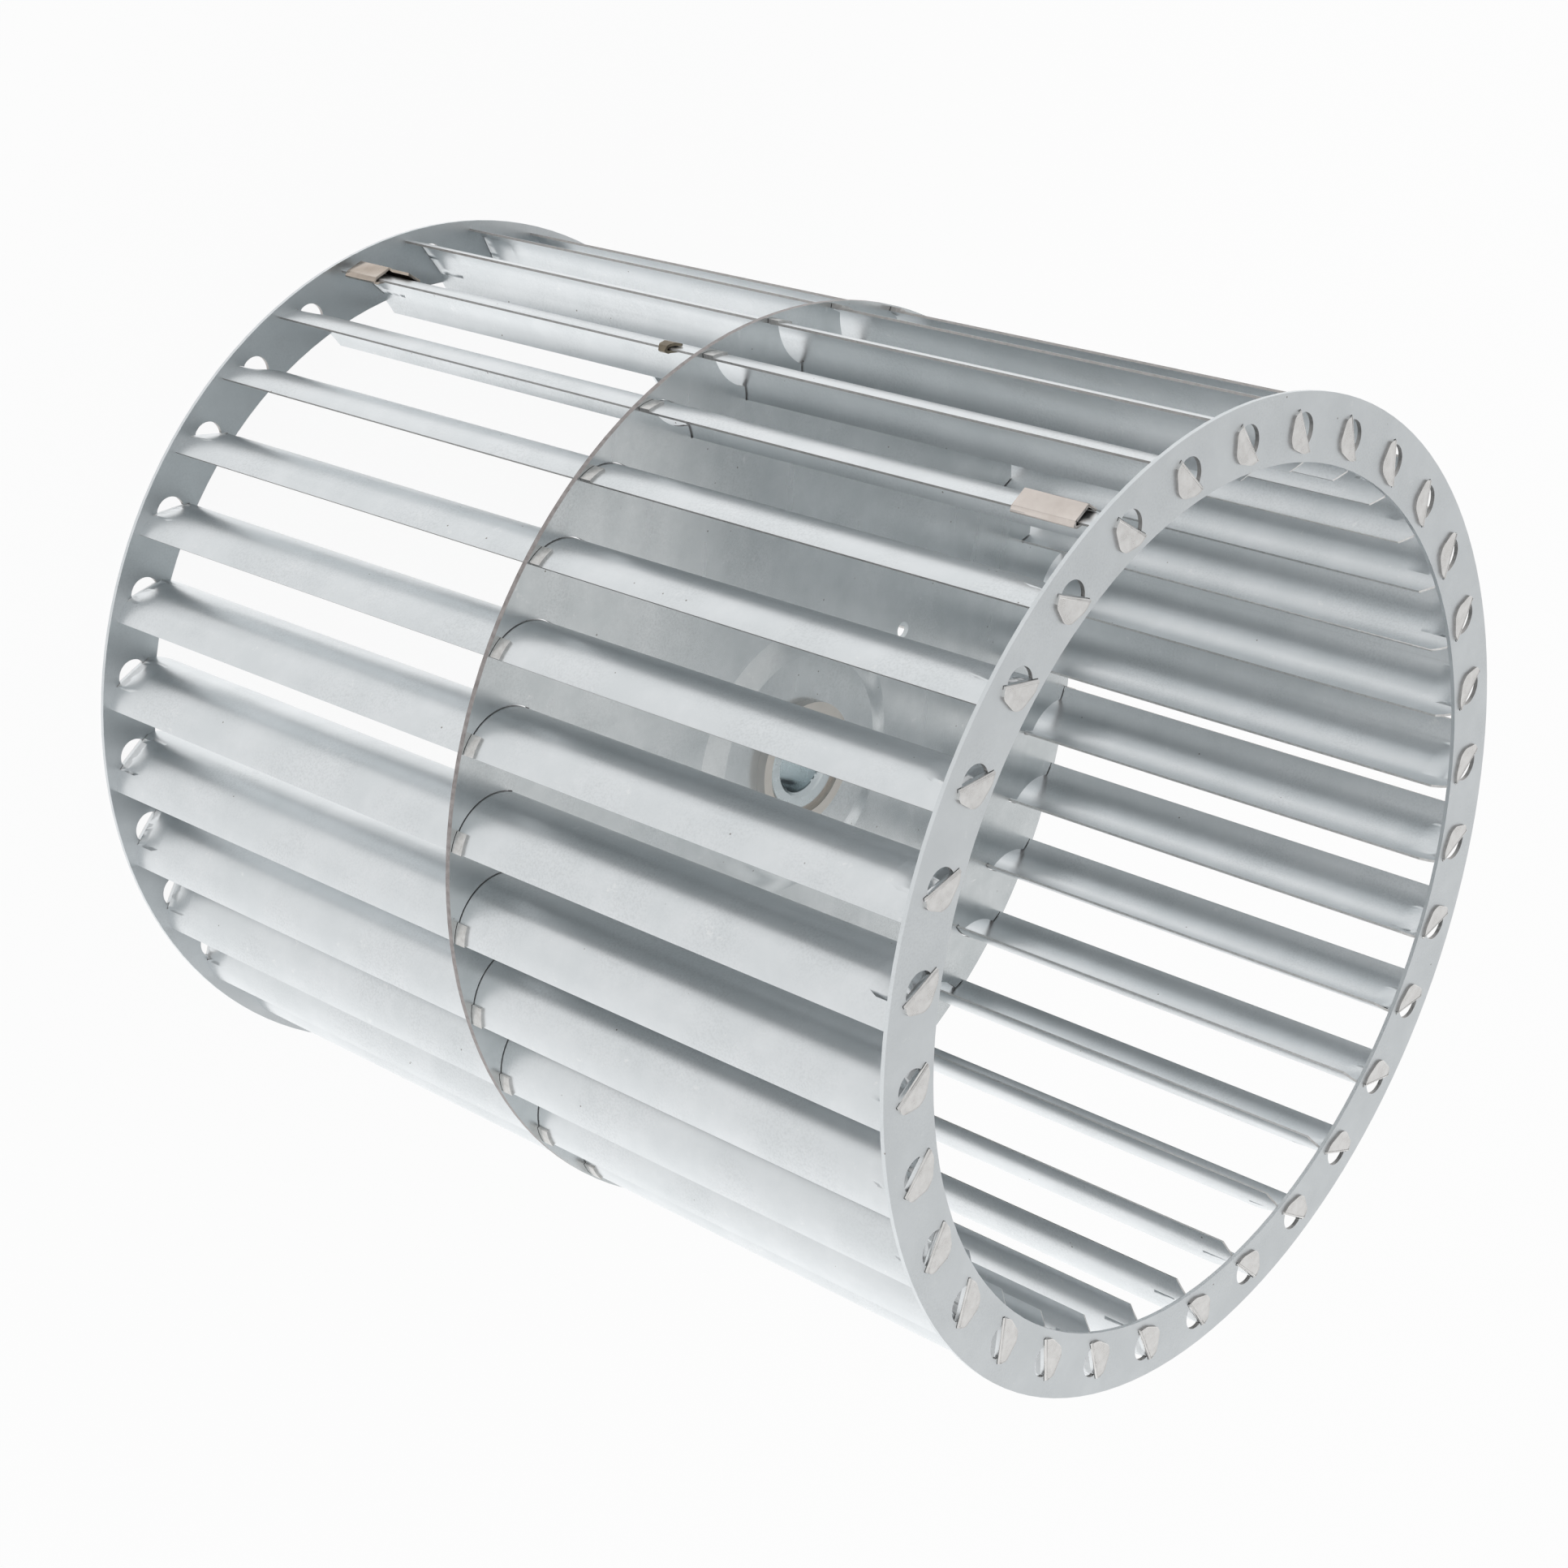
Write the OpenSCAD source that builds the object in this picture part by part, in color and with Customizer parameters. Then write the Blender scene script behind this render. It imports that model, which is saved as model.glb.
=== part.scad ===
/* [Wheel] */
// Diameter over the end rings
wheel_d = 241.3; // [224:0.1:320]
// Width over the outer faces of the two end rings
wheel_w = 267; // [180:1:360]
// Number of blades
blade_count = 32; // [24:1:34]

/* [End rings] */
// Radial width of an end ring
ring_w = 16; // [15:0.5:22]
// Sheet thickness of an end ring
ring_t = 1; // [0.8:0.1:2]

/* [Centre disc] */
// Radial distance from the disc's edge to the wheel's outside
disc_inset = 1.15; // [0.5:0.05:2]
// Sheet thickness of the disc
disc_t = 1.35; // [1:0.05:1.8]
// Radius of the flat top of the disc's raised centre
boss_top_r = 29; // [24:1:40]
// Radial length of the slope round the raised centre
boss_slope = 7; // [4:0.5:12]
// Height of the raised centre
boss_h = 1.9; // [0.5:0.1:4]
// Radius at which the disc's small hole lies
pin_hole_at = 49.6; // [46:0.1:80]
// Diameter of the disc's small hole
pin_hole_d = 4.5; // [3:0.1:8]
// Direction of the disc's small hole, in degrees
pin_hole_a = 39.3; // [0:0.1:360]

/* [Blades] */
// Sheet thickness of a blade
blade_t = 0.6; // [0.5:0.05:0.9]
// Radius of a blade's curve at the middle of its sheet
blade_r = 13.33; // [12:0.01:15]
// Radial distance from a blade's outermost point, at mid sheet, to the wheel's outside
rim_inset = 2.65; // [2:0.01:4.5]
// Distance from the radial line of a blade to the centre of its curve
curve_side = 8.15; // [7:0.05:9]
// Angle on the curve of the blade's outer edge
tip_a = -3.5; // [-7:0.5:2]
// Angle on the curve of the blade's inner edge
root_a = -104; // [-112:1:-98]
// Length of the slanted inner corners at both ends of a blade
corner_cut_len = 2.8; // [1:0.1:4]

/* [Folded tabs] */
// Width of a tab across its fold
tab_w = 11.5; // [10:0.1:12]
// Angle on the curve at the middle of the tab
tab_mid_a = -54.5; // [-58:0.25:-49]
// Reach of the folded tab from the middle of the sheet
tab_reach = 5.6; // [4.5:0.1:7]
// Width of the tab's nose
nose_w = 2.5; // [1:0.1:4]
// Distance from the middle of the tab to the middle of its nose, outwards
nose_shift = 0.55; // [0:0.05:1]
// Height of the tab's shoulders above the fold
shoulder_h = 2.4; // [1:0.1:3]
// How far the tab flares at its outer shoulder
tab_flare = 0.2; // [0:0.1:0.6]
// How far the tab narrows at its inner shoulder
tab_narrowing = 1; // [0:0.1:2]
// Length over which the tab's root changes from curved to flat
ease_len = 9; // [5:0.5:16]
// Radius of the half-moon beside a tab's slit
moon_r = 4.4; // [3.5:0.1:5]
// Rise of the half-moon above the tab
moon_rise = 3.8; // [2:0.1:4.2]
// Distance from the middle of the tab to the middle of the half-moon, outwards
moon_shift = 0.3; // [0:0.05:1]

/* [Blade seats in the disc] */
// Depth of the notch in a blade's outer edge, along the curve
notch_depth = 1.3; // [0.8:0.1:2]
// Height of the notch below the middle of the disc
notch_below = 1.2; // [1:0.1:2]
// Height of the notch above the middle of the disc
notch_above = 0.8; // [0.8:0.1:4]
// Height of the stake above the notch
stake_h = 3.2; // [1:0.1:5]
// Length of the stake along the curve
stake_len = 4.9; // [3:0.1:7]
// How far the stake stands out of the blade
stake_out = 0.6; // [0.3:0.05:1]
// Radius of the relief beside a blade's slot
relief_r = 14.8; // [14:0.1:16]
// Widest gap between the relief's edge and the outside of the curve
relief_w = 4.6; // [1.6:0.1:5]

/* [Hub] */
// Bore for the shaft
bore_d = 15.875; // [12:0.005:18]
// Diameter of the hub's body
hub_d = 33; // [30:0.5:44]
// Length of the hub's body under the disc
hub_len = 25; // [16:0.5:36]
// Diameter of the hub's neck
neck_d = 24; // [23:0.1:26]
// Width of the swaged lip over the washer's countersink
lip = 0.5; // [0.3:0.05:1]
// Rise of the neck above the ledge in the washer
neck_rise = 0.3; // [0.1:0.1:0.5]
// Chamfer at both ends of the bore
bore_chamfer = 1.5; // [0.5:0.1:2]
// Chamfer round the hub's lower end
hub_chamfer = 1; // [0.5:0.1:2]
// How far the washer stands out past the hub's body
washer_out = 0.15; // [0:0.05:4]
// Thickness of the washer
washer_t = 2.6; // [2.6:0.1:4]
// Depth of the ledge in the washer that the neck is swaged over
ledge_depth = 1.5; // [0.5:0.1:1.5]
// Width of that ledge
ledge_w = 1.2; // [0.5:0.1:2]
// Diameter of the set screw
screw_d = 7.8; // [4:0.1:9]
// Length of the set screw
screw_len = 7.8; // [4:0.1:8]
// Width across the corners of the screw's socket
socket_d = 4.6; // [2:0.1:5]
// Depth of the screw's socket
socket_depth = 4; // [2:0.1:4.5]

/* [Balance clips] */
// Sheet thickness of a clip
clip_t = 0.7; // [0.5:0.05:1]
// Length of the top clip
top_clip_len = 16.6; // [8:0.1:30]
// Gap between the top clip and the top ring
top_clip_gap = 4.8; // [0.3:0.1:12]
// Length of the bottom clip's back leg
bottom_clip_len = 18; // [10:0.1:30]
// Gap between the bottom clip and the bottom ring
bottom_clip_gap = 3.6; // [0.05:0.05:12]
// Length by which the bottom clip's front is shorter
bottom_clip_cut = 6.5; // [3:0.1:9]
// Length of the crimp clip
crimp_len = 4.8; // [2:0.1:8]
// Distance from the middle of the disc to the crimp clip
crimp_drop = 8.6; // [4:0.1:30]

/* [Fits] */
// Gap round a tab in its slit
slit_gap = 0.15; // [0.1:0.05:0.3]
// Gap on the outside of the curve in the disc's slot
outer_gap = 0.25; // [0.1:0.05:0.4]
// Gap on the inside of the curve in the disc's slot
inner_gap = 0.35; // [0.1:0.05:0.5]
// Gap between turned parts and the holes that they sit in
turned_gap = 0.07; // [0.05:0.01:0.2]
// Gap between a clip and the blade in it
clip_gap = 0.05; // [0.02:0.01:0.2]

/* [Hidden] */
$fn = 96;
wheel_r = wheel_d / 2;
ring_in_r = wheel_r - ring_w;
face_z = wheel_w / 2;
shoulder_z = face_z - ring_t;
pitch_a = 360 / blade_count;
over = 1;

disc_r = wheel_r - disc_inset;
boss_base_r = boss_top_r + boss_slope;
boss_low = boss_h - disc_t / 2;
boss_top = boss_h + disc_t / 2;

curve_x = wheel_r - rim_inset - blade_r;
curve_in = blade_r - blade_t / 2;
curve_out = blade_r + blade_t / 2;
tab_half_a = asin(tab_w / 2 / blade_r);
chord_h = blade_r * cos(tab_half_a);
band_slices = 10;
band_angles = [for (i = [0 : band_slices]) tab_mid_a + tab_half_a * (2 * i / band_slices - 1)];
notch_a = tip_a - notch_depth / blade_r * 180 / PI;
slot_end_a = notch_a + slit_gap / blade_r * 180 / PI;
slot_root_a = root_a - slit_gap / blade_r * 180 / PI;
stake_a = tip_a - stake_len / blade_r * 180 / PI;

neck_r = neck_d / 2;
bore_r = bore_d / 2;
hub_low = boss_low - hub_len;
washer_top = boss_top + washer_t;
ledge_top = washer_top - ledge_depth;
washer_rim_r = hub_d / 2 + washer_out;
neck_top = ledge_top + neck_rise;
seat_r = neck_r + turned_gap;
screw_a = pitch_a / 2;
screw_z = (boss_low + hub_low) / 2;
screw_back = 0.4;

clip_off = (blade_t + clip_t) / 2 + clip_gap;
clip_bulge = 1.6;
clip_turn_a = 2;
clip_crown_a = 5.5;
clip_back_a = 20;
clip_knee_a = 16;
clip_cut_a = 20;
top_leg_a = 26;
bottom_leg_a = 36;
crimp_leg_a = 10;
crimp_point = 0.2;
crimp_slope = 1.2;
crimp_notch = 3;
crimp_barb = 2.4;

steel = [0.76, 0.79, 0.81];
sheet = [0.72, 0.76, 0.78];
disc_grey = [0.62, 0.66, 0.68];
zinc = [0.6, 0.68, 0.74];
tan_plate = [0.78, 0.75, 0.68];
tan_clip = [0.74, 0.69, 0.62];
brown_clip = [0.6, 0.53, 0.42];
black = [0.16, 0.16, 0.17];

function blade_name(k) = str("blade_", k < 10 ? "0" : "", k);

// A corner at b, rounded off over the length r on both sides
function rounded(a, b, c, r, steps = 4) =
    let (p = b + (a - b) / norm(a - b) * r, q = b + (c - b) / norm(c - b) * r)
    [for (i = [0 : steps]) let (t = i / steps) (1 - t) ^ 2 * p + 2 * t * (1 - t) * b + t ^ 2 * q];

// A point at an angle on a curve
function polar(r, a) = [r * cos(a), r * sin(a)];

// Places a shape in the place of blade k
module at_blade(k) {
    rotate((k - 1) * pitch_a) children();
}

// Centres a shape on the blade's curve
module on_curve() {
    translate([curve_x, curve_side]) children();
}

// Lays a flat shape along the tab's fold, with +Y towards the hollow side of the blade
module on_fold() {
    on_curve() rotate(tab_mid_a + 90) translate([0, -chord_h]) children();
}

// A pie slice wide enough to cut the curve
module slice(from_a, to_a) {
    reach = 2 * curve_out;
    polygon([[0, 0], polar(reach, from_a), polar(reach, (from_a + to_a) / 2), polar(reach, to_a)]);
}

// A strip of the curve between two radii and two angles
module strip(r_in, r_out, from_a, to_a) {
    intersection() {
        difference() {
            circle(r_out);
            circle(r_in);
        }
        slice(from_a, to_a);
    }
}

// The same shape at both ends of the wheel
module both_ends() {
    for (end = [0, 1]) {
        mirror([0, 0, end]) children();
    }
}

// The plan of a folded tab, with its three outer corners rounded
module tab_plan() {
    half = tab_w / 2;
    foot_out = [half, 0];
    foot_in = [-half, 0];
    side_out = [half + tab_flare, shoulder_h];
    side_in = [tab_narrowing - half, shoulder_h];
    nose_out = [nose_shift + nose_w / 2, tab_reach];
    nose_in = [nose_shift - nose_w / 2, tab_reach];
    polygon(concat(
        [foot_out],
        rounded(foot_out, side_out, nose_out, 1),
        rounded(side_out, nose_out, nose_in, 1),
        rounded(nose_out, nose_in, side_in, 1),
        rounded(nose_in, side_in, foot_in, 1),
        [foot_in]
    ));
}

// The tab: straight through the ring, bent over its edge and flat on its face
module folded_tab() {
    translate([0, 0, shoulder_z]) linear_extrude(ring_t) on_fold() square([tab_w, blade_t], center = true);
    translate([0, 0, face_z]) {
        linear_extrude(blade_t) on_fold() intersection() {
            tab_plan();
            translate([0, blade_t / 2 + tab_reach]) square(2 * [tab_w, tab_reach], center = true);
        }
    }
    intersection() {
        translate([0, 0, face_z]) on_fold_3d() rotate([0, 90, 0]) cylinder(r = blade_t, h = tab_w, center = true);
        translate([0, 0, face_z]) linear_extrude(blade_t) on_fold() square([tab_w, blade_t], center = true);
    }
}

// Puts a solid on the inside line of the fold
module on_fold_3d() {
    on_curve() rotate(tab_mid_a + 90) translate([0, blade_t / 2 - chord_h, 0]) children();
}

// The part of the strip between the two sides of the tab, over the blade's straight length
module tab_band() {
    linear_extrude(2 * (shoulder_z - ease_len), center = true) on_curve() polygon(concat(
        [for (i = [0 : band_slices]) polar(curve_out, band_angles[i])],
        [for (i = [0 : band_slices]) polar(curve_in, band_angles[band_slices - i])]
    ));
}

// The stretch where the sheet changes from the blade's curve to the straight fold
module eased_root(stations = 3) {
    levels = [for (j = [0 : stations]) j / stations];
    function ease(t) = t * t * (3 - 2 * t);
    function skin(side, a, t) =
        (1 - ease(t)) * blade_r + ease(t) * chord_h / cos(a - tab_mid_a) + side;
    function point(side, a, t) =
        concat(polar(skin(side, a, t), a), [shoulder_z - ease_len * (1 - t)]);
    sheet_sides = [blade_t / 2, -blade_t / 2];
    points = [for (side = sheet_sides) for (t = levels) for (a = band_angles) point(side, a, t)];
    row = band_slices + 1;
    back = row * (stations + 1);
    last = row * stations;
    skins = [for (j = [0 : stations - 1]) for (i = [0 : band_slices - 1])
        let (p = j * row + i)
        each [
            [p, p + row, p + row + 1],
            [p, p + row + 1, p + 1],
            [back + p, back + p + row + 1, back + p + row],
            [back + p, back + p + 1, back + p + row + 1]
        ]];
    sides = [for (j = [0 : stations - 1])
        let (p = j * row, q = p + band_slices)
        each [
            [p, back + p, back + p + row],
            [p, back + p + row, p + row],
            [q, q + row, back + q + row],
            [q, back + q + row, back + q]
        ]];
    caps = [for (i = [0 : band_slices - 1])
        let (q = last + i)
        each [
            [i, i + 1, back + i + 1],
            [i, back + i + 1, back + i],
            [q, back + q, back + q + 1],
            [q, back + q + 1, q + 1]
        ]];
    on_curve() polyhedron(points = points, faces = concat(skins, sides, caps), convexity = 4);
}

// What a slanted inner corner takes off the end of a blade
module corner_cut() {
    past = corner_cut_len + over;
    on_curve() rotate(root_a) translate([blade_r, 0, shoulder_z]) rotate([90, 0, 90]) {
        linear_extrude(4 * blade_t, center = true) polygon([[-over, -past], [past, over], [-over, over]]);
    }
}

// One blade: a strip curved in section, with its tabs, roots, notch and stake
module blade_shape() {
    difference() {
        linear_extrude(2 * shoulder_z, center = true) on_curve() {
            strip(curve_in, curve_out, root_a, band_angles[0]);
            strip(curve_in, curve_out, band_angles[band_slices], tip_a);
        }
        translate([0, 0, -notch_below]) linear_extrude(notch_below + notch_above) on_curve()
            slice(notch_a, tip_a + 2 * (tip_a - notch_a));
        both_ends() corner_cut();
    }
    tab_band();
    both_ends() {
        eased_root();
        folded_tab();
    }
    translate([0, 0, notch_above]) linear_extrude(stake_h) on_curve()
        strip(curve_in, curve_out + stake_out, stake_a, tip_a);
}

module blade(k) {
    color(steel) at_blade(k) blade_shape();
}

// The slit for a tab, with the half-moon that the ring's sheet is opened by
module ring_slot() {
    on_fold() {
        square([tab_w + 2 * slit_gap, blade_t + 2 * slit_gap], center = true);
        intersection() {
            translate([moon_shift, moon_r - moon_rise]) circle(moon_r);
            translate([0, -moon_r]) square(2 * moon_r, center = true);
        }
    }
}

// An end ring, lying on the blades' shoulders at the top end
module end_ring() {
    color(sheet) translate([0, 0, shoulder_z]) difference() {
        cylinder(r = wheel_r, h = ring_t);
        translate([0, 0, -over]) cylinder(r = ring_in_r, h = ring_t + 2 * over);
        translate([0, 0, -over]) linear_extrude(ring_t + 2 * over) {
            for (k = [1 : blade_count]) at_blade(k) ring_slot();
        }
    }
}

module top_end_ring() {
    end_ring();
}

module bottom_end_ring() {
    mirror([0, 0, 1]) end_ring();
}

// The curved slot that a blade passes through, with the relief on its hollow side
module disc_slot() {
    on_curve() {
        strip(curve_in - inner_gap, curve_out + outer_gap, slot_root_a, slot_end_a);
        intersection() {
            circle(blade_r);
            translate(polar(blade_r + relief_r - relief_w, tab_mid_a)) circle(relief_r);
        }
    }
}

// The disc that carries the blades on the hub
module centre_disc() {
    color(disc_grey) difference() {
        rotate_extrude() polygon([
            [seat_r, boss_low],
            [boss_top_r, boss_low],
            [boss_base_r, -disc_t / 2],
            [disc_r, -disc_t / 2],
            [disc_r, disc_t / 2],
            [boss_base_r, disc_t / 2],
            [boss_top_r, boss_top],
            [seat_r, boss_top]
        ]);
        linear_extrude(disc_t + 2 * over, center = true) {
            for (k = [1 : blade_count]) at_blade(k) disc_slot();
        }
        rotate(pin_hole_a) translate([pin_hole_at, 0, 0]) {
            cylinder(d = pin_hole_d, h = disc_t + 2 * over, center = true);
        }
    }
}

// Places a solid in the set screw's hole, with +Z outwards and its foot at the bore
module at_screw() {
    rotate(screw_a) translate([bore_r, 0, screw_z]) rotate([0, 90, 0]) children();
}

// The turned hub, with its neck swaged out over the ledge in the washer
module hub() {
    color(zinc) difference() {
        rotate_extrude() polygon([
            [bore_r, hub_low + bore_chamfer],
            [bore_r + bore_chamfer, hub_low],
            [hub_d / 2 - hub_chamfer, hub_low],
            [hub_d / 2, hub_low + hub_chamfer],
            [hub_d / 2, boss_low],
            [neck_r, boss_low],
            [neck_r, ledge_top - lip],
            [neck_r + lip, ledge_top],
            [neck_r + lip / 2, neck_top],
            [bore_r + bore_chamfer, neck_top],
            [bore_r, neck_top - bore_chamfer]
        ]);
        at_screw() translate([0, 0, -over]) cylinder(d = screw_d + 2 * turned_gap, h = hub_d);
    }
}

// The washer, with a ledge for the swaged lip
module hub_washer() {
    color(tan_plate) rotate_extrude() polygon([
        [seat_r, boss_top],
        [washer_rim_r, boss_top],
        [washer_rim_r, washer_top],
        [seat_r + lip + ledge_w, washer_top],
        [seat_r + lip + ledge_w, ledge_top],
        [seat_r + lip, ledge_top],
        [seat_r, ledge_top - lip]
    ]);
}

// The set screw, backed off so that it stops short of the bore
module set_screw() {
    color(black) at_screw() translate([0, 0, screw_back]) difference() {
        cylinder(d = screw_d, h = screw_len);
        translate([0, 0, screw_len - socket_depth]) cylinder(d = socket_d, h = socket_depth + over, $fn = 6);
    }
}

// A bent strip of sheet along a path, with round bends
module bent_strip(path, t) {
    for (point = path) {
        translate(point) circle(d = t);
    }
    for (i = [1 : len(path) - 1]) {
        run = path[i] - path[i - 1];
        translate(path[i - 1]) rotate(atan2(run[1], run[0])) translate([0, -t / 2]) square([norm(run), t]);
    }
}

// A clip's section round the blade's outer edge, from the hollow side over the edge to the outside
module clip_section(back_a, leg_a, knee_a, bulge) {
    on_curve() bent_strip([
        polar(blade_r - clip_off, tip_a - back_a),
        polar(blade_r - clip_off, tip_a + clip_turn_a),
        polar(blade_r, tip_a + clip_crown_a),
        polar(blade_r + clip_off, tip_a + clip_turn_a),
        polar(blade_r + clip_off + bulge, tip_a - knee_a),
        polar(blade_r + clip_off, tip_a - leg_a)
    ], clip_t);
}

module top_balance_clip() {
    color(tan_clip) at_blade(12) translate([0, 0, shoulder_z - top_clip_gap - top_clip_len]) {
        linear_extrude(top_clip_len) clip_section(clip_back_a, top_leg_a, clip_knee_a, clip_bulge);
    }
}

// The bottom clip, whose front is cut back so that its back leg runs on
module bottom_balance_clip() {
    color(brown_clip) at_blade(11) translate([0, 0, bottom_clip_gap - shoulder_z]) difference() {
        linear_extrude(bottom_clip_len) clip_section(clip_back_a, bottom_leg_a, clip_knee_a, clip_bulge);
        translate([0, 0, bottom_clip_len - bottom_clip_cut]) linear_extrude(bottom_clip_cut + over) on_curve()
            slice(tip_a - clip_cut_a, tip_a + clip_cut_a);
    }
}

// What the crimp clip's arrow-shaped blank leaves of its length, seen from outside the wheel
module crimp_blank() {
    on_curve() rotate(tip_a) translate([blade_r, 0, 0]) rotate([90, 0, 90]) {
        linear_extrude(blade_r, center = true) polygon([
            [crimp_point, 0],
            [-crimp_len, crimp_slope],
            [-crimp_len, crimp_len],
            [-crimp_leg_a * blade_r * PI / 180, crimp_len],
            [-crimp_point, crimp_notch],
            [crimp_len, crimp_barb]
        ]);
    }
}

// The small crimped clip, pointed at one end and split at the other
module crimp_clip() {
    color(brown_clip) at_blade(11) translate([0, 0, -crimp_drop - crimp_len]) intersection() {
        linear_extrude(crimp_len) clip_section(crimp_leg_a, crimp_leg_a, crimp_leg_a / 2, clip_t / 2);
        crimp_blank();
    }
}

top_end_ring();
bottom_end_ring();
centre_disc();
hub();
hub_washer();
set_screw();
top_balance_clip();
bottom_balance_clip();
crimp_clip();
for (k = [1 : blade_count]) {
    blade(k);
}
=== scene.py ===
import math

import bpy
from mathutils import Matrix, Vector


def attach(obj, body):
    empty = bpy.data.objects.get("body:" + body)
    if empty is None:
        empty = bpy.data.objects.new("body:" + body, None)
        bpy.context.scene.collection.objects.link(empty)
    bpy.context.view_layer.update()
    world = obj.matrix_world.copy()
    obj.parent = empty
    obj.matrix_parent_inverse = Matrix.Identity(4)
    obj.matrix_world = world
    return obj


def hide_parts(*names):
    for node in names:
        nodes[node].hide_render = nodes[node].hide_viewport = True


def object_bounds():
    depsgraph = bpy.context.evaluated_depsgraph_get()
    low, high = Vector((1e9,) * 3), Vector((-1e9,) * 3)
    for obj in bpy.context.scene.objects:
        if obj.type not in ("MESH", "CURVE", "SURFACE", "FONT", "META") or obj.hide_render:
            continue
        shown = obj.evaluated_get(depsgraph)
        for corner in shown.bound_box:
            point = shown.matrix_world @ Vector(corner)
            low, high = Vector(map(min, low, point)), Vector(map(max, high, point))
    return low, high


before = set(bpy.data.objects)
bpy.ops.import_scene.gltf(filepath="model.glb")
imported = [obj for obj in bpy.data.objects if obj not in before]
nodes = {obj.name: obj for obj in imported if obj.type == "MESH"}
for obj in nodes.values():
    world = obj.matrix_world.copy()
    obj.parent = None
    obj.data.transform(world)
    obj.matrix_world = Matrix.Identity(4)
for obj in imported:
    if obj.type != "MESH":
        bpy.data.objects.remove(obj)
cad_box = [list(corner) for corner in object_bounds()]
scene = bpy.context.scene
scene.view_settings.view_transform = "Standard"

# Camera
# A long lens half a metre off, looking into the wheel over its near ring.
# The wheel stands on its end and the camera is rolled, so the axle line runs across the picture.
camera_right = Vector((0.6613, 0.1165, 0.7410))
camera_back = Vector((-0.7390, 0.2690, 0.6176)).normalized()
camera_right = (camera_right - camera_right.dot(camera_back) * camera_back).normalized()
camera_up = camera_back.cross(camera_right)
camera_turn = Matrix((camera_right, camera_up, camera_back)).transposed().to_4x4()
camera_data = bpy.data.cameras.new("camera")
camera_data.lens = 65.15
camera_data.sensor_width = 36
camera_data.clip_start = 0.01
camera = bpy.data.objects.new("camera", camera_data)
camera.matrix_world = Matrix.Translation((-0.5495, 0.19264, 0.45729)) @ camera_turn
scene.collection.objects.link(camera)
scene.camera = camera


# End rings
# Two flat hoops punched from galvanized sheet, one at each end of the wheel.
# The blades' tabs come through their half-moon slots and are folded over on the outer face.
# The slots' walls are bare sheared steel, painted darker than the zinc, partly as painted shade.
def link(tree, source, socket):
    tree.links.new(source, socket)


def metal(name, roughness):
    # A bare metal, whose colour, roughness and relief the finishes below fill in
    material = bpy.data.materials.new(name)
    material.use_nodes = True
    shader = material.node_tree.nodes["Principled BSDF"]
    shader.inputs["Metallic"].default_value = 1
    shader.inputs["IOR"].default_value = 1.5
    shader.inputs["Roughness"].default_value = roughness
    return material, material.node_tree, shader


def noise(tree, vector, scale, detail, rough=0.5):
    # A cloudy pattern from 0 to 1
    pattern = tree.nodes.new("ShaderNodeTexNoise")
    pattern.inputs["Scale"].default_value = scale
    pattern.inputs["Detail"].default_value = detail
    pattern.inputs["Roughness"].default_value = rough
    link(tree, vector, pattern.inputs["Vector"])
    return pattern.outputs["Fac"]


def step_between(tree, value, low, high, to_low=0.0, to_high=1.0):
    # The value's stretch from low to high, spread over a new one and held at its ends
    ramp = tree.nodes.new("ShaderNodeMapRange")
    ramp.inputs["From Min"].default_value = low
    ramp.inputs["From Max"].default_value = high
    ramp.inputs["To Min"].default_value = to_low
    ramp.inputs["To Max"].default_value = to_high
    link(tree, value, ramp.inputs["Value"])
    return ramp.outputs["Result"]


def mixed(tree, share, first, second):
    # The first colour where the share is 0, and the second where it is 1
    mix = tree.nodes.new("ShaderNodeMix")
    mix.data_type = "RGBA"
    link(tree, share, mix.inputs["Factor"])
    for socket, colour in (("A", first), ("B", second)):
        if isinstance(colour, tuple):
            mix.inputs[socket].default_value = (*colour, 1)
        else:
            link(tree, colour, mix.inputs[socket])
    return mix.outputs["Result"]


def times(tree, first, second):
    product = tree.nodes.new("ShaderNodeMath")
    product.operation = "MULTIPLY"
    link(tree, first, product.inputs[0])
    link(tree, second, product.inputs[1])
    return product.outputs[0]


def spots(tree, place, scale, radius, kept):
    # One round spot in some of the cells, with a soft rim
    cells = tree.nodes.new("ShaderNodeTexVoronoi")
    cells.inputs["Scale"].default_value = scale
    link(tree, place, cells.inputs["Vector"])
    inside = step_between(tree, cells.outputs["Distance"], radius * scale, 0.5 * radius * scale)
    channels = tree.nodes.new("ShaderNodeSeparateColor")
    link(tree, cells.outputs["Color"], channels.inputs["Color"])
    chosen = step_between(tree, channels.outputs["Red"], 1 - kept, 1 - kept + 0.02)
    return times(tree, inside, chosen)


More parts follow.
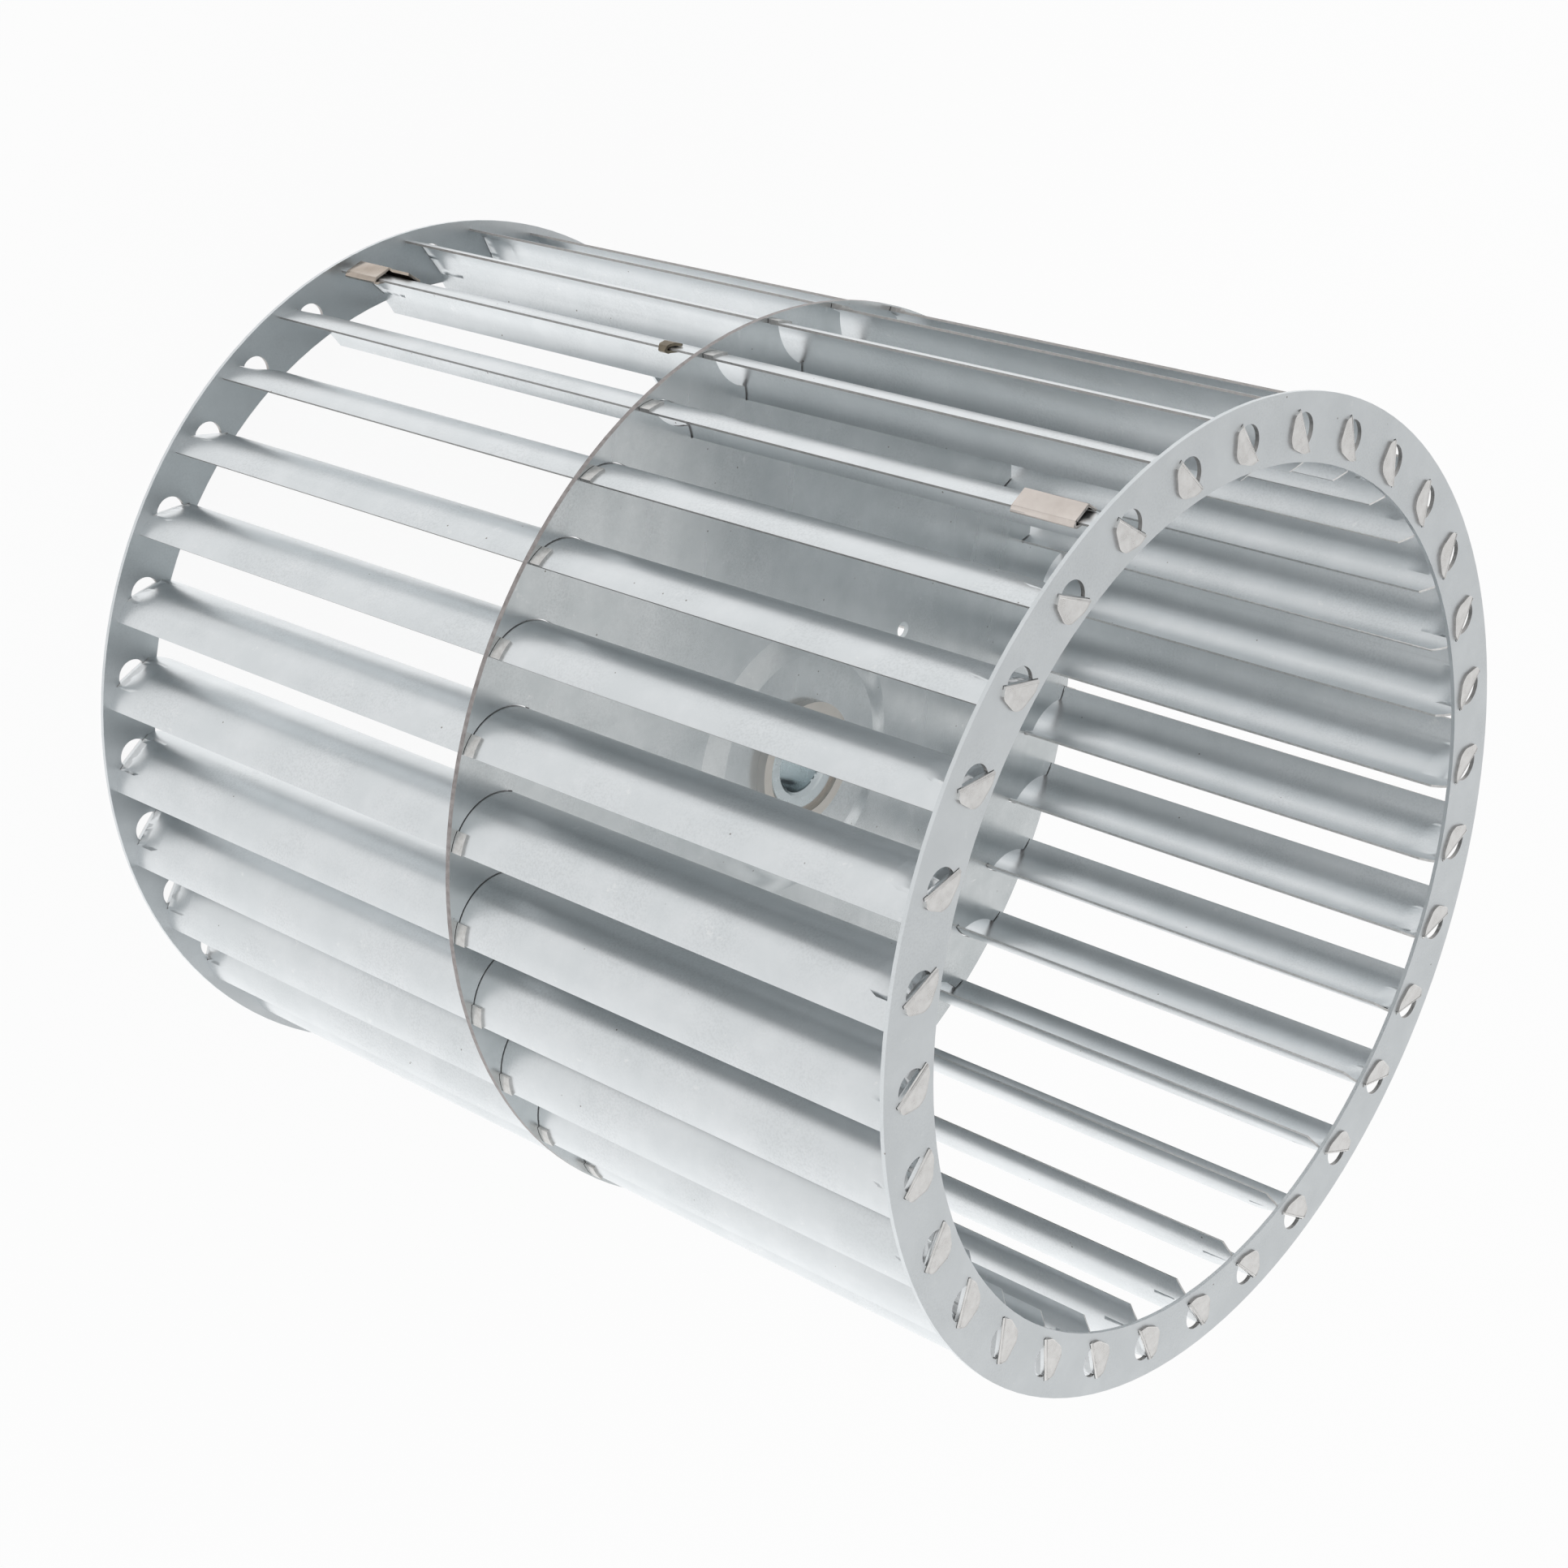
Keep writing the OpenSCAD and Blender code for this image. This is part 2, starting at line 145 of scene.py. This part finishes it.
def galvanized(name, pale, dark, roughness, streak_scale, streak_depth, frost, dirt, scuffs):
    # Zinc-coated sheet, cloudy and a little frosted, with faint rolling lines, dirt and scuffs
    material, tree, shader = metal(name, roughness)
    place = tree.nodes.new("ShaderNodeTexCoord").outputs["Object"]

    # Cloudy zinc in patches of about 15 mm, with a finer mottle of 2 mm
    cloud = step_between(tree, noise(tree, place, 70, 6, 0.6), 0.36, 0.62)
    colour = mixed(tree, cloud, dark, pale)
    mottle = step_between(tree, noise(tree, place, 480, 3, 0.6), 0.35, 0.70, 0.0, 0.35)
    colour = mixed(tree, mottle, colour, dark)

    # A fine frosty grain that comes and goes in patches
    patch = step_between(tree, noise(tree, place, 45, 3), 0.42, 0.62)
    grain = step_between(tree, noise(tree, place, 1700, 3), 0.42, 0.72, 0.0, frost)
    colour = mixed(tree, times(tree, patch, grain), colour, tuple(0.72 * part for part in dark))

    # Small dark specks of dirt, and pale scuffs where the zinc was rubbed
    speck = spots(tree, place, 260, 0.00028, dirt)
    colour = mixed(tree, speck, colour, (0.22, 0.20, 0.18))
    rubbed = step_between(tree, noise(tree, place, 260, 5, 0.7), 0.64, 0.72, 0.0, scuffs)
    colour = mixed(tree, rubbed, colour, (0.86, 0.87, 0.87))
    link(tree, colour, shader.inputs["Base Color"])

    # Faint rolling lines along the sheet
    stretch = tree.nodes.new("ShaderNodeMapping")
    stretch.inputs["Scale"].default_value = streak_scale
    link(tree, place, stretch.inputs["Vector"])
    streaks = noise(tree, stretch.outputs["Vector"], 1, 4)
    dull = step_between(tree, streaks, 0.3, 0.7, roughness - 0.03, roughness + 0.04)
    link(tree, dull, shader.inputs["Roughness"])
    bump = tree.nodes.new("ShaderNodeBump")
    bump.inputs["Strength"].default_value = streak_depth
    bump.inputs["Distance"].default_value = 0.0001
    link(tree, streaks, bump.inputs["Height"])
    link(tree, bump.outputs["Normal"], shader.inputs["Normal"])
    return material


def plain_metal(name, pale, dark, roughness, scale, relief=0.06):
    # Grainy metal of one tone, for cut edges, tabs and plated pieces
    material, tree, shader = metal(name, roughness)
    place = tree.nodes.new("ShaderNodeTexCoord").outputs["Object"]
    grain = noise(tree, place, scale, 5, 0.6)
    tone = step_between(tree, grain, 0.35, 0.65)
    link(tree, mixed(tree, tone, dark, pale), shader.inputs["Base Color"])
    dull = step_between(tree, grain, 0.3, 0.7, roughness - 0.06, roughness + 0.08)
    link(tree, dull, shader.inputs["Roughness"])
    bump = tree.nodes.new("ShaderNodeBump")
    bump.inputs["Strength"].default_value = relief
    bump.inputs["Distance"].default_value = 0.0001
    link(tree, grain, bump.inputs["Height"])
    link(tree, bump.outputs["Normal"], shader.inputs["Normal"])
    return material


def finished(name, materials, smooth, join=1e-6, flat_within=0.6):
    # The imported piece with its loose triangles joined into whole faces, shaded smooth where it curves
    bpy.ops.object.select_all(action="DESELECT")
    nodes[name].select_set(True)
    bpy.context.view_layer.objects.active = nodes[name]
    bpy.ops.object.duplicate()
    piece = bpy.context.object
    piece.name = name + "_finished"
    for key in [key for key in piece.keys() if key.startswith("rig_")]:
        del piece[key]
    bpy.ops.object.mode_set(mode="EDIT")
    bpy.ops.mesh.select_all(action="SELECT")
    bpy.ops.mesh.remove_doubles(threshold=join)
    if flat_within:
        bpy.ops.mesh.dissolve_limited(angle_limit=math.radians(flat_within))
    bpy.ops.object.mode_set(mode="OBJECT")
    bpy.ops.object.shade_smooth_by_angle(angle=math.radians(smooth))
    piece.data.materials.clear()
    for material in materials:
        piece.data.materials.append(material)
    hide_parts(name)
    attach(piece, "root")
    return piece


def shade_true(piece, centre=Vector((0, 0)), turn=0.0):
    # Walls that curve round one line shade as truly round, whatever their triangles, and level faces as level
    level = 0.99999
    nearly_upright = 0.01
    facing_centre = 0.996
    turned_back = Matrix.Rotation(-turn, 2)
    turned_out = Matrix.Rotation(turn, 2)
    normals = [corner.vector.copy() for corner in piece.data.corner_normals]
    for face in piece.data.polygons:
        if abs(face.normal.z) > level:
            for loop in face.loop_indices:
                normals[loop] = face.normal.copy()
            continue
        spoke = turned_back @ Vector((face.center.x, face.center.y)) - centre
        lean = (turned_back @ Vector((face.normal.x, face.normal.y))).dot(spoke.normalized())
        if abs(lean) < facing_centre or abs(face.normal.z) > nearly_upright:
            continue
        for loop in face.loop_indices:
            corner = piece.data.vertices[piece.data.loops[loop].vertex_index].co
            spoke = turned_back @ Vector((corner.x, corner.y)) - centre
            spoke = turned_out @ spoke.normalized() * math.copysign(1, lean)
            normals[loop] = Vector((spoke.x, spoke.y, 0))
    piece.data.normals_split_custom_set(normals)


ring_inner = 0.10465
ring_outer = 0.12065
rim_margin = 0.0004
ring_zinc = galvanized(
    "ring_zinc",
    pale=(0.70, 0.73, 0.745),
    dark=(0.655, 0.685, 0.70),
    roughness=0.40,
    streak_scale=(200, 200, 200),
    streak_depth=0.08,
    frost=0.25,
    dirt=0.12,
    scuffs=0.30,
)
# Bare sheared steel, made dark partly as painted shade for the outlines round the tabs and the blades' tip
# edges
sheared_and_shade = plain_metal("sheared_edge_and_shade", (0.50, 0.485, 0.475), (0.38, 0.37, 0.36), 0.46, 900)
for name in ("top_end_ring", "bottom_end_ring"):
    ring = finished(name, [ring_zinc, sheared_and_shade], smooth=30)
    for face in ring.data.polygons:
        middle = Vector((face.center.x, face.center.y)).length
        upright = abs(face.normal.z) < 0.5
        in_slot = ring_inner + rim_margin < middle < ring_outer - rim_margin
        face.material_index = int(upright and in_slot)
    shade_true(ring)

# Centre disc
# A pressed plate of thicker galvanized sheet, slotted round its rim for the blades.
# Its rim and the slots' walls are sheared bare.
plain_within = 0.085
disc_zinc = galvanized(
    "disc_zinc",
    pale=(0.72, 0.75, 0.76),
    dark=(0.63, 0.665, 0.675),
    roughness=0.24,
    streak_scale=(160, 24, 60),
    streak_depth=0.07,
    frost=0.40,
    dirt=0.40,
    scuffs=0.55,
)
disc_rim = plain_metal("disc_rim", (0.38, 0.355, 0.35), (0.25, 0.23, 0.225), 0.45, 700)
disc = finished("centre_disc", [disc_zinc, disc_rim], smooth=30, flat_within=0.02)
for face in disc.data.polygons:
    middle = Vector((face.center.x, face.center.y)).length
    face.material_index = int(abs(face.normal.z) < 0.5 and middle > plain_within)
shade_true(disc)

# Blades
# Curved strips of thin galvanized sheet that run through the disc from ring to ring.
# Their narrowed ends are tabs, folded over on the rings' outer faces, where the zinc has gone warm.
blade_zinc = galvanized(
    "blade_zinc",
    pale=(0.745, 0.77, 0.785),
    dark=(0.69, 0.72, 0.735),
    roughness=0.35,
    streak_scale=(420, 420, 9),
    streak_depth=0.14,
    frost=0.35,
    dirt=0.16,
    scuffs=0.50,
)
tab_zinc = plain_metal("folded_tab", (0.82, 0.813, 0.80), (0.70, 0.69, 0.675), 0.30, 420)
stake_zinc = plain_metal("stake", (0.66, 0.66, 0.65), (0.52, 0.515, 0.50), 0.36, 900)
# The same cut steel made paler for the blades' root edges, a painted highlight
cut_painted_highlight = plain_metal("cut_painted_highlight", (0.72, 0.72, 0.71), (0.58, 0.575, 0.565), 0.35, 900)
blade_finishes_and_painted_light = [blade_zinc, sheared_and_shade, tab_zinc, stake_zinc, cut_painted_highlight]
sheet, cut_edge_painted_shade, folded_over, staked, root_painted_highlight = range(len(blade_finishes_and_painted_light))
curve_centre = Vector((0.10467, 0.00815))
curve_outside = 0.01363
clear_of_sheet = 0.00005
band_start = math.radians(-80.05)
band_end = math.radians(-28.95)
band_margin = 0.07
root_end = math.radians(-104)
root_reach = 0.6
ring_face = 0.13351
tab_top = 0.13409
tab_rim_width = 0.00022
tab_rim_height = 0.00009
stake_reach = 0.0045
blade_count = sum(name.startswith("blade_") for name in nodes)
blade_step = math.radians(11.25)
for number in range(1, blade_count + 1):
    blade = finished(f"blade_{number:02d}", blade_finishes_and_painted_light, smooth=35, join=4e-5)

    # The folded tabs have a raised rim, from the punch that set them
    bpy.ops.object.mode_set(mode="EDIT")
    bpy.ops.mesh.select_mode(type="FACE")
    bpy.ops.mesh.select_all(action="DESELECT")
    bpy.ops.object.mode_set(mode="OBJECT")
    for face in blade.data.polygons:
        face.select = abs(face.center.z) > tab_top
    bpy.ops.object.mode_set(mode="EDIT")
    bpy.ops.mesh.inset(thickness=tab_rim_width, depth=-tab_rim_height)
    bpy.ops.object.mode_set(mode="OBJECT")
    turn = (number - 1) * blade_step
    shade_true(blade, curve_centre, turn)

    # The sheet's faces are zinc and the folded ends have a finish of their own. Its cut edges are dark bare
    # steel with painted shade, and its root edge is paler as a painted highlight.
    turned_back = Matrix.Rotation(-turn, 2)
    for face in blade.data.polygons:
        flat_place = turned_back @ Vector((face.center.x, face.center.y)) - curve_centre
        flat_normal = turned_back @ Vector((face.normal.x, face.normal.y))
        across = flat_normal.dot(flat_place.normalized())
        along = math.atan2(flat_place.y, flat_place.x)
        from_band = min(abs(along - band_end), abs(along - band_start))
        if abs(face.center.z) > ring_face:
            on_top = abs(face.normal.z) > 0.5 or across > 0.3
            # The tabs' side walls take the dark cut edge, a painted shade outline round each tab
            face.material_index = folded_over if on_top else cut_edge_painted_shade
        elif flat_place.length > curve_outside + clear_of_sheet and abs(face.center.z) < stake_reach:
            face.material_index = staked
        elif from_band < band_margin and abs(face.normal.z) < 0.4:
            face.material_index = sheet
        elif abs(across) < 0.6:
            # Cut edges: paler at the root as a painted highlight, dark elsewhere as painted shade
            face.material_index = root_painted_highlight if along < root_end + root_reach else cut_edge_painted_shade

# Hub
# A turned steel hub, zinc plated, staked into the disc over a tan plated washer.
# A black set screw in its side grips the shaft.
hub_zinc = plain_metal("hub_zinc", (0.72, 0.78, 0.80), (0.66, 0.72, 0.735), 0.26, 150, 0.005)
washer_plate = plain_metal("washer_plate", (0.70, 0.67, 0.625), (0.65, 0.62, 0.575), 0.30, 120)
washer_side = plain_metal("washer_side", (0.62, 0.60, 0.575), (0.57, 0.55, 0.525), 0.30, 120)
hub = finished("hub", [hub_zinc], smooth=32, flat_within=0)
shade_true(hub)
hole_within = 0.012
washer = finished("hub_washer", [washer_plate, washer_side], smooth=32)
for face in washer.data.polygons:
    middle = Vector((face.center.x, face.center.y)).length
    face.material_index = int(abs(face.normal.z) < 0.5 and middle > hole_within)
shade_true(washer)
screw_oxide = plain_metal("screw_oxide", (0.09, 0.09, 0.10), (0.05, 0.05, 0.055), 0.38, 1200)
finished("set_screw", [screw_oxide], smooth=32)

# Balance clips
# Folded spring strips pressed on to blade tips where the wheel was balanced.
# The top one is plated tan, the bottom one browner, and the small crimp is darker still.
top_clip = plain_metal("tan_clip", (0.67, 0.615, 0.575), (0.60, 0.545, 0.505), 0.17, 150)
finished("top_balance_clip", [top_clip], smooth=35)
bottom_clip = plain_metal("brown_clip", (0.50, 0.44, 0.385), (0.42, 0.36, 0.305), 0.22, 150)
finished("bottom_balance_clip", [bottom_clip], smooth=35)
crimp = plain_metal("olive_crimp", (0.25, 0.215, 0.16), (0.17, 0.145, 0.11), 0.36, 350)
finished("crimp_clip", [crimp], smooth=35)

# Floor
# A wide sheet of white paper under the wheel.
# It shows the wheel's shadow to the camera, and the metal doesn't reflect it.
floor_size = 12
floor_glow = 0.92
floor_z = cad_box[0][2]
bpy.ops.object.select_all(action="DESELECT")
bpy.ops.mesh.primitive_plane_add(size=floor_size, location=(0, 0, floor_z))
bpy.ops.object.transform_apply(location=True)
floor = bpy.context.object
floor.name = "floor"
paper = bpy.data.materials.new("paper")
paper.use_nodes = True
tree = paper.node_tree
paper_shader = tree.nodes["Principled BSDF"]
paper_shader.inputs["Base Color"].default_value = (0.95, 0.95, 0.95, 1)
paper_shader.inputs["Roughness"].default_value = 1
paper_shader.inputs["Specular IOR Level"].default_value = 0
white = tree.nodes.new("ShaderNodeEmission")
white.inputs["Color"].default_value = (1, 1, 1, 1)
seen = tree.nodes.new("ShaderNodeLightPath")
seen_or_reflected = tree.nodes.new("ShaderNodeMath")
seen_or_reflected.operation = "MAXIMUM"
link(tree, seen.outputs["Is Camera Ray"], seen_or_reflected.inputs[0])
link(tree, seen.outputs["Is Glossy Ray"], seen_or_reflected.inputs[1])
glow_share = tree.nodes.new("ShaderNodeMath")
glow_share.operation = "MULTIPLY"
glow_share.inputs[1].default_value = floor_glow
link(tree, seen_or_reflected.outputs[0], glow_share.inputs[0])
blend = tree.nodes.new("ShaderNodeMixShader")
link(tree, glow_share.outputs[0], blend.inputs[0])
link(tree, paper_shader.outputs[0], blend.inputs[1])
link(tree, white.outputs[0], blend.inputs[2])
link(tree, blend.outputs[0], tree.nodes["Material Output"].inputs["Surface"])
floor.data.materials.clear()
floor.data.materials.append(paper)
floor.visible_glossy = False

# Light
# The camera sees plain white, and the wheel is lit by a white room a little brighter behind and below the
# picture, and dimmer to its right.
room_strength = 0.97
world = bpy.data.worlds.new("studio")
scene.world = world
world.use_nodes = True
tree = world.node_tree
backdrop = tree.nodes["Background"]
backdrop.inputs["Color"].default_value = (1, 1, 1, 1)
backdrop.inputs["Strength"].default_value = 1
room = tree.nodes.new("ShaderNodeBackground")
room.inputs["Color"].default_value = (1, 1, 1, 1)
direction = tree.nodes.new("ShaderNodeTexCoord").outputs["Generated"]
brightness = None
for towards, change in (
    (camera_right, -0.34),
    (camera_back, -0.12),
    (-camera_up, 0.11),
    (-camera_back, 0.27),
):
    lean = tree.nodes.new("ShaderNodeVectorMath")
    lean.operation = "DOT_PRODUCT"
    lean.inputs[1].default_value = towards
    link(tree, direction, lean.inputs[0])
    side = tree.nodes.new("ShaderNodeMapRange")
    side.inputs["From Min"].default_value = 0
    side.inputs["From Max"].default_value = 1
    side.inputs["To Min"].default_value = 0
    side.inputs["To Max"].default_value = change
    link(tree, lean.outputs["Value"], side.inputs["Value"])
    total = tree.nodes.new("ShaderNodeMath")
    total.operation = "ADD"
    link(tree, side.outputs["Result"], total.inputs[0])
    if brightness is None:
        total.inputs[1].default_value = room_strength
    else:
        link(tree, brightness, total.inputs[1])
    brightness = total.outputs[0]
link(tree, brightness, room.inputs["Strength"])
seen = tree.nodes.new("ShaderNodeLightPath")
blend = tree.nodes.new("ShaderNodeMixShader")
link(tree, seen.outputs["Is Camera Ray"], blend.inputs[0])
link(tree, room.outputs[0], blend.inputs[1])
link(tree, backdrop.outputs[0], blend.inputs[2])
link(tree, blend.outputs[0], tree.nodes["World Output"].inputs["Surface"])
